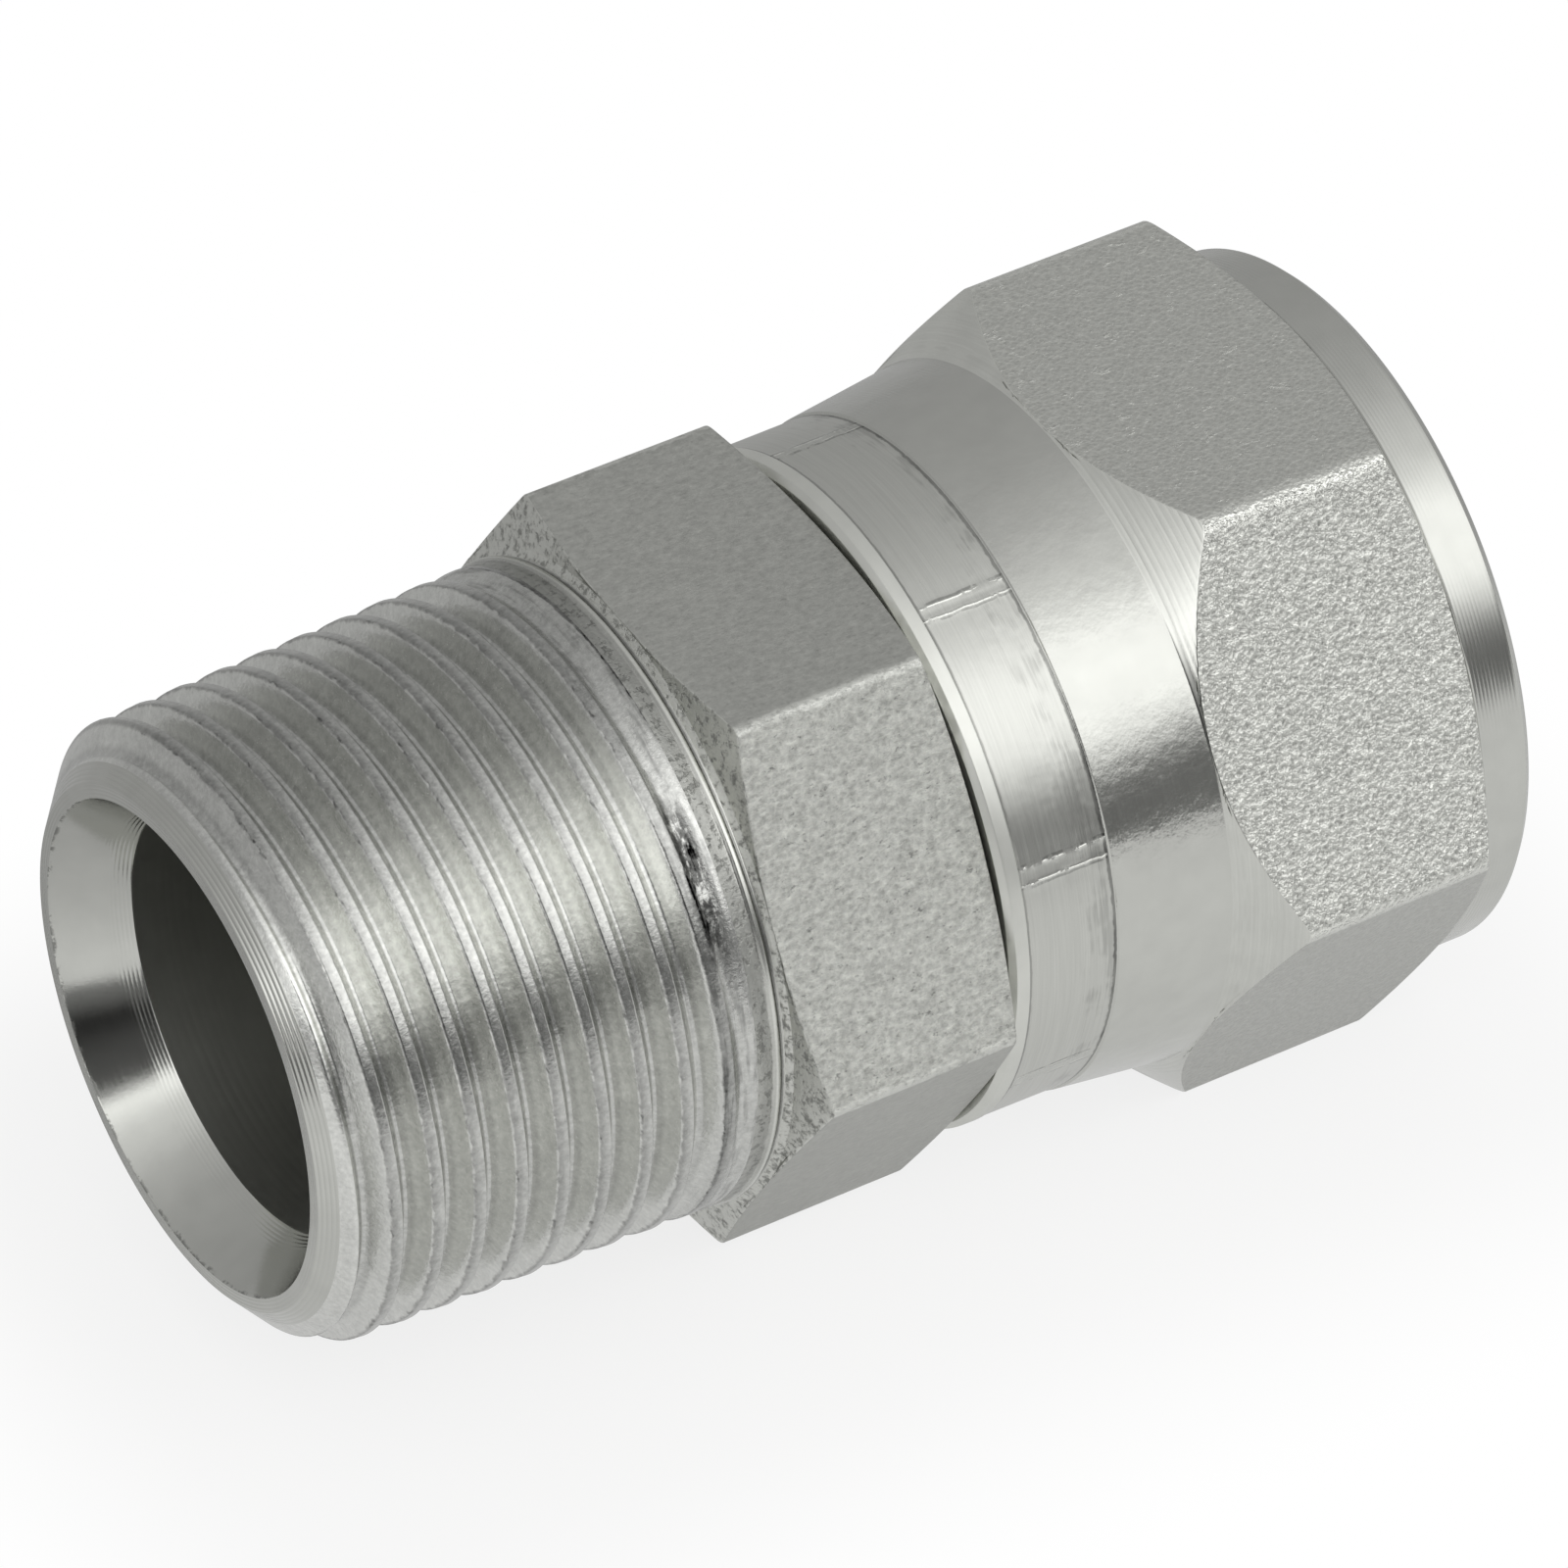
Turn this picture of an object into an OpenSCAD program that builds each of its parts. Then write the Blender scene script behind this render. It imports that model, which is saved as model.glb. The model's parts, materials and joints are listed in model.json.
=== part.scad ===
// Swivel hydraulic adapter: male taper pipe thread to female swivel nut, 1 inch size.
// The part lies on one flat of the nut. X runs along the fitting from the male end
// to the nut end, and stations along the fitting are counted from the male end face.

/* [Male taper thread] */
// Crest diameter of the taper thread at its gauge plane
gauge_d = 33.249; // [32.9:0.001:33.6]
// Distance of the gauge plane from the male end face
gauge_len = 8.1; // [8.1:0.1:12.7]
// Length over which the thread grows by one unit of diameter
taper_run = 16; // [14:0.5:20]
// Pitch of the thread
pitch = 2.309; // [1.8:0.001:2.6]
// Angle between the flanks of the thread
flank_angle = 55; // [50:1:60]
// Length of the male stem, from its end face to the hexagon
stem_len = 24.75; // [22:0.05:30]
// Station at which the first whole crest crosses the underside of the stem
first_crest = 1.4; // [0.4:0.1:2]
// Length over which the roots run out at the hexagon end of the thread
runout_len = 3.6; // [2:0.1:5]
// Diameter of the turned neck behind the thread
neck_d = 34.3; // [34.1:0.05:34.8]
// Length of the neck
neck_len = 1.9; // [1:0.1:3]
// Angle of the lead chamfer, measured from the axis
lead_angle = 50; // [40:1:60]

/* [Cone seat and passage] */
// Diameter of the cone seat at the male end face
seat_d = 26.2; // [24.5:0.1:27]
// Included angle of the cone seat
seat_angle = 60; // [55:1:65]
// Width of the flat land around the mouth of the seat
land_w = 0.75; // [0.4:0.05:1.1]
// Diameter of the passage through the fitting
bore_d = 22; // [18:0.1:22.6]
// Break at the edge of the passage in the nose
bore_break = 0.4; // [0.2:0.05:0.5]

/* [Body hexagon] */
// Width of the body hexagon across its flats
hex_af = 35; // [34.6:0.1:38]
// Length of the body hexagon
hex_len = 12.25; // [9:0.05:18]
// Diameter that the bar's corners are rounded to
hex_corner_d = 40.2; // [39.2:0.1:40.3]
// Angle of the turned chamfers at both ends, measured from the end face
hex_chamfer = 16; // [10:1:30]
// Angle by which the body is turned against the nut, as it lies
hex_turn = 2; // [0:0.5:59]

/* [Swivel tail] */
// Diameter of the shoulder that carries the nut
shoulder_d = 30; // [29.4:0.05:30.1]
// Diameter of the groove that the nut is pressed into
groove_d = 27.4; // [26.6:0.1:27.8]
// Length of the groove, from the hexagon to the start of the shoulder's slope
groove_len = 6.25; // [5:0.05:8]
// Length of the shoulder, with its slope
shoulder_len = 8.35; // [7:0.05:8.4]
// Diameter of the nose cone at its base
nose_d = 28.8; // [28:0.1:29]
// Diameter of the nose cone at its tip
nose_tip_d = 24.4; // [24.1:0.1:25]

/* [Swivel nut] */
// Width of the nut across its flats
nut_af = 38; // [38:0.1:42]
// Diameter that the nut's corners are rounded to
nut_corner_d = 43.4; // [42.4:0.1:43.7]
// Length of the pressed band, from the nut's lip to its step
band_len = 5.05; // [4:0.05:6]
// Diameter of the pressed band
band_d = 36.1; // [35.8:0.1:36.2]
// Length of the lip in front of the pressed band
lip_len = 0.9; // [0.6:0.1:1.4]
// Diameter of the lip
lip_d = 36.2; // [35.8:0.1:36.4]
// Break at the front edge of the lip
lip_break = 0.6; // [0.2:0.05:0.8]
// Length of the smooth flare between the band and the hexagon
flare_len = 6.25; // [5:0.05:8]
// Diameter of the flare at the band
flare_d = 36.4; // [36.4:0.1:37]
// Diameter of the flare at the hexagon
flare_end_d = 37.94; // [37.5:0.02:37.96]
// Length from the flare to the end of the hexagon
nut_hex_len = 15.05; // [12:0.05:20]
// Angle of the hexagon's front chamfer, measured from the axis
front_chamfer = 45; // [35:1:55]
// Angle of the hexagon's rear chamfer, measured from the end face
rear_chamfer = 28; // [15:1:35]
// Diameter of the turned collar at the nut's end
collar_d = 37.6; // [36.5:0.1:37.8]
// Length of the collar
collar_len = 3.1; // [1.5:0.1:6]
// Break at the collar's outer edge
collar_break = 0.5; // [0.2:0.05:1]

/* [Pressed band] */
// Number of press jaws that closed the nut
jaws = 8; // [4:1:12]
// Height of the ridge left between two jaws
ridge_h = 0.12; // [0.05:0.01:0.2]
// Width of the ridge left between two jaws
ridge_w = 0.5; // [0.2:0.05:1]
// Angle of the first ridge, counted from the top of the nut
ridge_turn = 24; // [0:1:44]

/* [Female thread] */
// Minor diameter of the parallel thread in the nut
minor_d = 30.291; // [30.2:0.001:30.9]
// Length of the thread wall, without its mouth chamfer
female_len = 9.6; // [8:0.1:9.7]
// Diameter of the countersink at the mouth of the thread
mouth_d = 34; // [33.4:0.1:35]
// Diameter of the relief behind the thread
relief_d = 33.7; // [33.3:0.1:34]
// Length of the relief
relief_len = 3.7; // [2:0.1:4]

/* [Clearances] */
// Radial running clearance between the shoulder and the nut
run_gap = 0.05; // [0.02:0.01:0.1]
// Clearance between the nut's lip and the groove and the hexagon
lip_gap = 0.3; // [0.2:0.05:0.5]

/* [Hidden] */
steel = [0.70, 0.71, 0.68];
zinc = [0.74, 0.75, 0.72];
$fn = 96;

// Stations along the fitting
hex_start = stem_len;
hex_end = hex_start + hex_len;
slope_start = hex_end + groove_len;
shoulder_end = slope_start + shoulder_len;
nose_start = shoulder_end + (shoulder_d - nose_d) / 2;
nose_len = (nose_d - nose_tip_d) / 2 / tan(seat_angle / 2);
nose_tip = nose_start + nose_len;
nut_start = hex_end + lip_gap;
band_start = nut_start + lip_len;
band_end = band_start + band_len;
flare_end = band_end + flare_len;
nut_hex_end = flare_end + nut_hex_len;
nut_end = nut_hex_end + collar_len;
mouth_start = nut_end - (mouth_d - minor_d) / 2;
thread_start = mouth_start - female_len;
relief_start = thread_start - relief_len;

// Thread form: flanks at half the flank angle, crests and roots rounded
half_flank = flank_angle / 2;
sharp_h = pitch / (2 * tan(half_flank));
form_h = sharp_h * 2 / 3;
round_r = sharp_h / 6 / (1 / sin(half_flank) - 1);
round_side = round_r * cos(half_flank) / pitch;
round_drop = round_r * (1 - sin(half_flank));

// Share of a pitch, counted from the crest, and depth below the crest
form = [
    [-round_side, round_drop],
    [0, 0],
    [round_side, round_drop],
    [0.5 - round_side, form_h - round_drop],
    [0.5, form_h],
    [0.5 + round_side, form_h - round_drop]
];

// The thread is drawn past both ends of the stem and cut off there
thread_end = stem_len - neck_len;
thread_from = first_crest - 2 * pitch;
thread_turns = ceil((thread_end - thread_from) / pitch) + 1;
turn_steps = 40;

// Crest radius of the taper thread at a station
function crest_r(at) = (gauge_d + (at - gauge_len) / taper_run) / 2;

// Share of the full thread depth that is left at a station of the run-out
function run_out(at) = min(1, max(0, (thread_end - at) / runout_len));

// Corner radius of a hexagon with the given width across its flats
function corner_r(af) = af / 2 / cos(30);

// Lays a shape that stands on its male end along X, with the nut's flat on the floor
module lay_down() {
    translate([-nut_end / 2, 0, nut_af / 2]) rotate([0, 90, 0]) children();
}

// Hexagonal bar with one flat down once the fitting lies
module hex_bar(af, from, to) {
    translate([0, 0, from]) rotate([0, 0, 30])
        cylinder(r = corner_r(af), h = to - from, $fn = 6);
}

// Point of the thread's surface: step along the helix, and corner of the form
function helix_point(step, corner) =
    let (
        turn = step * 360 / turn_steps,
        at = thread_from + (step / turn_steps + form[corner][0]) * pitch,
        r = crest_r(min(at, thread_end)) - form[corner][1] * run_out(at)
    )
    [r * cos(turn), r * sin(turn), at];

// Rod with a right-hand helical thread on its taper, closed by a cone at each end
module threaded_rod() {
    corners = len(form);
    steps = thread_turns * turn_steps;
    last = corners - 1;
    surface = [
        for (step = [0 : steps], corner = [0 : last]) helix_point(step, corner)
    ];
    ends = [[0, 0, thread_from - pitch], [0, 0, thread_from + (thread_turns + 1) * pitch]];
    start_tip = len(surface);
    end_tip = start_tip + 1;
    // The last corner of a step meets the first corner one turn later
    function index(step, corner) =
        corner < corners ? step * corners + corner : (step + turn_steps) * corners;
    rim = steps - turn_steps;
    bands = [
        for (step = [0 : steps - 1], corner = [0 : step < rim ? last : last - 1], half = [0, 1])
            half == 0
                ? [index(step, corner), index(step, corner + 1), index(step + 1, corner)]
                : [index(step + 1, corner), index(step, corner + 1), index(step + 1, corner + 1)]
    ];
    start_cap = concat(
        [for (step = [0 : turn_steps - 1]) [start_tip, index(step, 0), index(step + 1, 0)]],
        [for (corner = [0 : last]) [start_tip, index(0, corner + 1), index(0, corner)]]
    );
    end_cap = concat(
        [for (step = [rim : steps - 1]) [end_tip, index(step + 1, last), index(step, last)]],
        [for (corner = [0 : last - 1]) [end_tip, index(steps, corner), index(steps, corner + 1)]],
        [[end_tip, index(rim, last), index(steps, 0)]]
    );
    polyhedron(concat(surface, ends), concat(bands, start_cap, end_cap));
}

// Male stem: taper thread, lead chamfer at its end and turned neck at the hexagon
module threaded_stem() {
    lead_r = seat_d / 2 + land_w;
    full_r = neck_d / 2;
    intersection() {
        threaded_rod();
        rotate_extrude() polygon([
            [0, 0],
            [lead_r, 0],
            [full_r, (full_r - lead_r) / tan(lead_angle)],
            [full_r, thread_end],
            [0, thread_end]
        ]);
    }
    translate([0, 0, thread_end]) cylinder(d = neck_d, h = neck_len + hex_len / 2);
}

// Hexagon of the body, chamfered at both ends by turning
module body_hexagon() {
    face_r = neck_d / 2;
    drop = (hex_corner_d / 2 - face_r) * tan(hex_chamfer);
    intersection() {
        rotate([0, 0, hex_turn]) hex_bar(hex_af, hex_start, hex_end);
        rotate_extrude() polygon([
            [0, hex_start],
            [face_r, hex_start],
            [hex_corner_d / 2, hex_start + drop],
            [hex_corner_d / 2, hex_end - drop],
            [face_r, hex_end],
            [0, hex_end]
        ]);
    }
}

// Tail that the nut turns on: groove, shoulder and nose cone
module swivel_tail() {
    rotate_extrude() polygon([
        [0, hex_end - hex_len / 2],
        [groove_d / 2, hex_end - hex_len / 2],
        [groove_d / 2, slope_start],
        [shoulder_d / 2, slope_start + (shoulder_d - groove_d) / 2],
        [shoulder_d / 2, shoulder_end],
        [nose_d / 2, nose_start],
        [nose_tip_d / 2, nose_tip],
        [0, nose_tip]
    ]);
}

// Passage through the fitting, with the cone seat at its male end
module passage() {
    seat_len = (seat_d - bore_d) / 2 / tan(seat_angle / 2);
    over = 1;
    flare = over * tan(seat_angle / 2);
    translate([0, 0, -over]) cylinder(d = bore_d, h = nose_tip + 2 * over);
    translate([0, 0, -over])
        cylinder(r1 = seat_d / 2 + flare, r2 = bore_d / 2, h = seat_len + over);
    translate([0, 0, nose_tip - bore_break])
        cylinder(r1 = bore_d / 2, r2 = bore_d / 2 + bore_break + over, h = bore_break + over);
}

// One-piece body: taper thread, hexagon and swivel tail
module adapter_body() {
    color(steel) lay_down() difference() {
        union() {
            threaded_stem();
            body_hexagon();
            swivel_tail();
        }
        passage();
    }
}

// Turned front of the nut: lip, pressed band and flare
module nut_front() {
    rotate_extrude() polygon([
        [0, nut_start],
        [lip_d / 2 - lip_break, nut_start],
        [lip_d / 2, nut_start + lip_break],
        [lip_d / 2, band_start],
        [band_d / 2, band_start],
        [band_d / 2, band_end],
        [flare_d / 2, band_end],
        [flare_end_d / 2, flare_end],
        [flare_end_d / 2, flare_end + collar_len],
        [0, flare_end + collar_len]
    ]);
}

// Ridges that the press jaws left between them on the band
module press_ridges() {
    foot = band_d / 2 - ridge_w;
    for (jaw = [0 : jaws - 1])
        rotate([0, 0, 180 + ridge_turn + jaw * 360 / jaws])
            translate([foot, -ridge_w / 2, band_start])
                cube([band_d / 2 + ridge_h - foot, ridge_w, band_len]);
}

// Hexagon of the nut, with a steep front chamfer and a shallow rear one
module nut_hexagon() {
    front_drop = (nut_corner_d - flare_end_d) / 2 / tan(front_chamfer);
    rear_drop = (nut_corner_d - collar_d) / 2 * tan(rear_chamfer);
    intersection() {
        hex_bar(nut_af, flare_end, nut_hex_end);
        rotate_extrude() polygon([
            [0, flare_end],
            [flare_end_d / 2, flare_end],
            [nut_corner_d / 2, flare_end + front_drop],
            [nut_corner_d / 2, nut_hex_end - rear_drop],
            [collar_d / 2, nut_hex_end],
            [0, nut_hex_end]
        ]);
    }
}

// Turned collar at the open end of the nut
module nut_collar() {
    rotate_extrude() polygon([
        [0, nut_hex_end - collar_len],
        [collar_d / 2, nut_hex_end - collar_len],
        [collar_d / 2, nut_end - collar_break],
        [collar_d / 2 - collar_break, nut_end],
        [0, nut_end]
    ]);
}

// Inside of the nut: closed lip, bearing for the shoulder, relief and thread wall
module nut_inside() {
    lip_r = groove_d / 2 + lip_gap;
    bearing_r = shoulder_d / 2 + run_gap;
    slope_from = slope_start + lip_gap - lip_gap / cos(45);
    over = 1;
    rotate_extrude() polygon([
        [0, nut_start - over],
        [lip_r, nut_start - over],
        [lip_r, slope_from],
        [bearing_r, slope_from + bearing_r - lip_r],
        [bearing_r, relief_start],
        [relief_d / 2, relief_start + (relief_d / 2 - bearing_r)],
        [relief_d / 2, thread_start - (relief_d - minor_d) / 2],
        [minor_d / 2, thread_start],
        [minor_d / 2, mouth_start],
        [mouth_d / 2 + over, nut_end + over],
        [0, nut_end + over]
    ]);
}

// Swivel nut, one piece, with its front closed over the tail's shoulder
module swivel_nut() {
    color(zinc) lay_down() difference() {
        union() {
            nut_front();
            press_ridges();
            nut_hexagon();
            nut_collar();
        }
        nut_inside();
    }
}

adapter_body();
swivel_nut();
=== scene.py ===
import json
import math

import bmesh
import bpy
import numpy as np
from mathutils import Matrix, Vector


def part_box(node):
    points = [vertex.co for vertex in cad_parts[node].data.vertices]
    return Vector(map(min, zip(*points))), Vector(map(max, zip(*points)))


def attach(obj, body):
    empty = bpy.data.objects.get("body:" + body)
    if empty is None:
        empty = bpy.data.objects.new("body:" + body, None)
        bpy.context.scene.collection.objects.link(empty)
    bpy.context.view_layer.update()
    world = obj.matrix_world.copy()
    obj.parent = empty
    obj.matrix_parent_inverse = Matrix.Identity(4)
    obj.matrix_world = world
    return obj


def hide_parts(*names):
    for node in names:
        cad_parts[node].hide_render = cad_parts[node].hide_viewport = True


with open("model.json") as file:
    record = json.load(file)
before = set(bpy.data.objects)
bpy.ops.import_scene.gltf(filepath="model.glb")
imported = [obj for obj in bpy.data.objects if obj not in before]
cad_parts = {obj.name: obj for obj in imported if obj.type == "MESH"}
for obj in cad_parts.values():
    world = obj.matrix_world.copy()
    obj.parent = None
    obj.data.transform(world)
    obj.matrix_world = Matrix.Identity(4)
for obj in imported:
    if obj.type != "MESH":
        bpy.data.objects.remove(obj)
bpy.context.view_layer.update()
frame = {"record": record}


# Taper thread
# A right-hand pipe thread with 55 degree flanks, cut by a die on the steel bar. Its crests
# are worn wide and round, with a small burr at the back, and the grooves between them rise
# to nothing at the neck. Rows of points follow the helix and lie closest at the crests.
MM = 0.001
male_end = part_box("adapter_body")[0].x
nut_low, nut_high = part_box("swivel_nut")
axis_height = (nut_low.z + nut_high.z) / 2


def station(millimetres):
    """Place along X of a station, which is in millimetres from the male end face."""
    return male_end + millimetres * MM


class Wire:
    """A socket in a node tree; sums and products of wires add Math nodes."""

    def __init__(self, tree, socket=None):
        self.tree, self.socket = tree, socket

    def add(self, kind, settings=None, sockets=None, out=0):
        """A new node: settings first, then the values or wires of its sockets."""
        node = self.tree.nodes.new(kind)
        for name, value in (settings or {}).items():
            if name == "stops":
                node.color_ramp.elements.remove(node.color_ramp.elements[1])
                node.color_ramp.elements[0].position = value[0][0]
                node.color_ramp.elements[0].color = value[0][1]
                for position, colour in value[1:]:
                    node.color_ramp.elements.new(position).color = colour
            else:
                setattr(node, name, value)
        for name, value in (sockets or {}).items():
            if isinstance(value, Wire):
                self.tree.links.new(value.socket, node.inputs[name])
            else:
                node.inputs[name].default_value = value
        return Wire(self.tree, node.outputs[out])

    def math(self, operation, *others):
        sockets = dict(enumerate((self, *others)))
        return self.add("ShaderNodeMath", {"operation": operation}, sockets)

    def ramp(self, low, high, start=0.0, end=1.0):
        """Goes smoothly from start to end as the wire goes from low to high."""
        sockets = {0: self, 1: low, 2: high, 3: start, 4: end}
        return self.add("ShaderNodeMapRange", {"interpolation_type": "SMOOTHSTEP"}, sockets)

    def near(self, place, inner, outer):
        """1 while the wire is within inner of a place, and 0 beyond outer."""
        return (self - place).math("ABSOLUTE").ramp(inner, outer, 1.0, 0.0)

    def __add__(self, other):
        return self.math("ADD", other)

    def __mul__(self, other):
        return self.math("MULTIPLY", other)

    def __sub__(self, other):
        return self.math("SUBTRACT", other)

    def __rsub__(self, other):
        return self.add("ShaderNodeMath", {"operation": "SUBTRACT"}, {0: other, 1: self})

    def __truediv__(self, other):
        return self.math("DIVIDE", other)

    def __rtruediv__(self, other):
        return self.add("ShaderNodeMath", {"operation": "DIVIDE"}, {0: other, 1: self})

    __radd__, __rmul__ = __add__, __mul__


def node_tree(name, inputs):
    """An empty Geometry Nodes tree and the wires of its named inputs."""
    tree = bpy.data.node_groups.new(name, "GeometryNodeTree")
    tree.interface.new_socket("Geometry", in_out="OUTPUT", socket_type="NodeSocketGeometry")
    for label, kind in inputs.items():
        tree.interface.new_socket(label, in_out="INPUT", socket_type="NodeSocket" + kind)
    entry = tree.nodes.new("NodeGroupInput")
    return tree, {label: Wire(tree, entry.outputs[label]) for label in inputs}


def close_tree(tree, surface, material):
    """Ends a tree that makes a surface."""
    seam = {"Geometry": surface, "Distance": 0.0005 * MM}
    merged = surface.add("GeometryNodeMergeByDistance", None, seam)
    smooth = merged.add("GeometryNodeSetShadeSmooth", None, {0: merged})
    real = smooth.add("GeometryNodeRealizeInstances", None, {0: smooth})
    dressed = real.add("GeometryNodeSetMaterial", None, {"Geometry": real, "Material": material})
    tree.links.new(dressed.socket, tree.nodes.new("NodeGroupOutput").inputs[0])


def grown(name, tree, values):
    """The plain mesh that a tree makes from values for its named inputs."""
    holder = bpy.data.objects.new(name, bpy.data.meshes.new(name))
    bpy.context.scene.collection.objects.link(holder)
    modifier = holder.modifiers.new(name, "NODES")
    modifier.node_group = tree
    items = tree.interface.items_tree
    sockets = {item.name: item.identifier for item in items if item.in_out == "INPUT"}
    for label, value in values.items():
        modifier[sockets[label]] = value
    evaluated = holder.evaluated_get(bpy.context.evaluated_depsgraph_get())
    mesh = bpy.data.meshes.new_from_object(evaluated)
    bpy.data.objects.remove(holder)
    return mesh


def around(turn_angle, radius, place):
    """Point at an angle from the top towards -Y, at a radius and a place along X."""
    y = turn_angle.math("SINE") * radius * -1
    z = turn_angle.math("COSINE") * radius + axis_height
    return place.add("ShaderNodeCombineXYZ", None, {0: place, 1: y, 2: z})


def grid_shares(wire, across, along):
    """A flat grid, and each point's share of the way across and along it."""
    sockets = {"Size X": 1.0, "Size Y": 1.0, "Vertices X": across, "Vertices Y": along}
    grid = wire.add("GeometryNodeMeshGrid", None, sockets)
    place = wire.add("GeometryNodeInputPosition")
    split = {axis: place.add("ShaderNodeSeparateXYZ", None, {0: place}, axis) for axis in (0, 1)}
    return grid, split[0] + 0.5, split[1] + 0.5


thread_inputs = {
    "Pitch": "Float", "First Crest": "Float", "Start": "Float", "End": "Float",
    "Start Radius": "Float", "Taper": "Float", "Depth": "Float", "Crest Flat": "Float",
    "Crest Round": "Float", "Hollow": "Float", "Run Out": "Float",
    "Start Cut": "Float", "Start Slope": "Float", "End Cut": "Float", "End Slope": "Float",
    "Side": "Float", "Burr": "Float", "Wander": "Float", "Seed": "Float",
    "Columns": "Int", "Rows per Pitch": "Int", "Material": "Material",
}


def pipe_thread_tree():
    """Crests and grooves round a cone, outside or inside it, cut off at both ends by cones."""
    tree, of = node_tree("pipe_thread", thread_inputs)
    pitch, start, end, side = of["Pitch"], of["Start"], of["End"], of["Side"]
    crowding = 0.68
    wander_radius, wander_scale = 17 * MM, 1300.0
    bead_place, bead_width = 0.7, 0.065 * MM
    cut_round = 0.1 * MM
    first_turn = ((start - of["First Crest"]) / pitch).math("FLOOR") - 1
    turns = ((end - of["First Crest"]) / pitch).math("CEIL") - first_turn
    grid, turn, along = grid_shares(pitch, of["Columns"] + 1, turns * of["Rows per Pitch"] + 1)
    count = along * turns + first_turn
    drawn = count - (count * 2 * math.pi).math("SINE") * (crowding / 2 / math.pi)
    place = (drawn + turn) * pitch + of["First Crest"]
    place = place.math("MAXIMUM", start).math("MINIMUM", end)
    angle = turn * (2 * math.pi)
    noise_at = around(angle, wander_radius, place)
    sockets = {"Vector": noise_at, "W": of["Seed"], "Scale": wander_scale, "Detail": 2.0}
    wander = noise_at.add("ShaderNodeTexNoise", {"noise_dimensions": "4D"}, sockets) - 0.5
    phase = (place - of["First Crest"]) / pitch - turn
    behind = (phase - phase.math("ROUND")) * pitch + wander * of["Wander"]
    edge = of["Crest Flat"] / 2
    reach = ((behind.math("ABSOLUTE") - edge) / (pitch / 2 - edge)).math("MINIMUM", 1.0)
    groove = (1 - (1 - reach).math("POWER", of["Hollow"])) * of["Depth"]
    depth = groove.math("SMOOTH_MAX", 0.0, of["Crest Round"])
    bead = ((behind - edge * bead_place) / bead_width).math("POWER", 2.0)
    burr = of["Burr"] / (bead + 1).math("POWER", 2.0)
    share = ((end - place) / of["Run Out"]).math("MINIMUM", 1.0)
    crest = of["Start Radius"] + (place - start) * of["Taper"]
    radius = crest * side - (depth - burr) * share
    start_cut = (of["Start Cut"] + (place - start) * of["Start Slope"]) * side
    end_cut = (of["End Cut"] + (end - place) * of["End Slope"]) * side
    for end_face in (start_cut, end_cut):
        radius = radius.math("SMOOTH_MIN", end_face, cut_round)
    sockets = {"Geometry": grid, "Position": around(angle, radius * side, place)}
    close_tree(tree, grid.add("GeometryNodeSetPosition", None, sockets), of["Material"])
    return tree


pipe_thread = pipe_thread_tree()
pitch = 2.309 * MM
half_flank = math.radians(27.5)
sharp_height = pitch / 2 / math.tan(half_flank)
form_height = sharp_height * 2 / 3
crest_flat = sharp_height / 3 * math.tan(half_flank)
crest_wear = 0.24 * MM
underside_crest = 1.4
lead_radius = 13.85 * MM
lead_slope = math.tan(math.radians(50))
thread_from, thread_to = 0.75, 22.85
taper = 1 / 32
gauge_radius, gauge_place = 33.249 / 2 * MM, 8.1
first_crest = station(underside_crest) - pitch / 2


def crest_radius(at):
    """Radius of the male crests at a station in millimetres."""
    return gauge_radius + (at - gauge_place) * MM * taper


# Adapter body
# One turned and zinc-plated steel piece: a male taper thread with a cone seat, a hexagon
# left from the drawn bar, and a tail with the shoulder that the nut turns on. Rows of
# points go round the axis, from the end of the thread over the outside and back inside.
mounts = {mount["name"]: mount for mount in frame["record"]["mounts"]}
columns = 240


def gathered(count, first, share):
    """Angles of the columns, from the top to -Y, drawn in towards count lines from first on."""
    turn = np.arange(columns) / columns
    sector = turn * count - first / 360 * count
    offset = (sector + 0.5) % 1 - 0.5
    drawn = offset * share + (1 - share) * offset * np.abs(2 * offset)
    return 2 * math.pi * (turn + (drawn - offset) / count)


def bar_radius(angles, across_flats, corner, first_corner):
    """Distance from the axis to a hexagonal bar with rounded corners."""
    half_side = math.pi / 6
    from_corner = (angles - math.radians(first_corner) + half_side) % (2 * half_side) - half_side
    centre = (across_flats / 2 - corner) / math.cos(half_side)
    flat = across_flats / 2 / np.cos(half_side - np.abs(from_corner))
    reach = np.maximum(corner**2 - (centre * np.sin(from_corner)) ** 2, 0)
    rounded = centre * np.cos(from_corner) + np.sqrt(reach)
    tangent = math.atan2(corner * math.sin(half_side), centre + corner * math.cos(half_side))
    return np.where(np.abs(from_corner) < tangent, rounded, flat)


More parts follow.
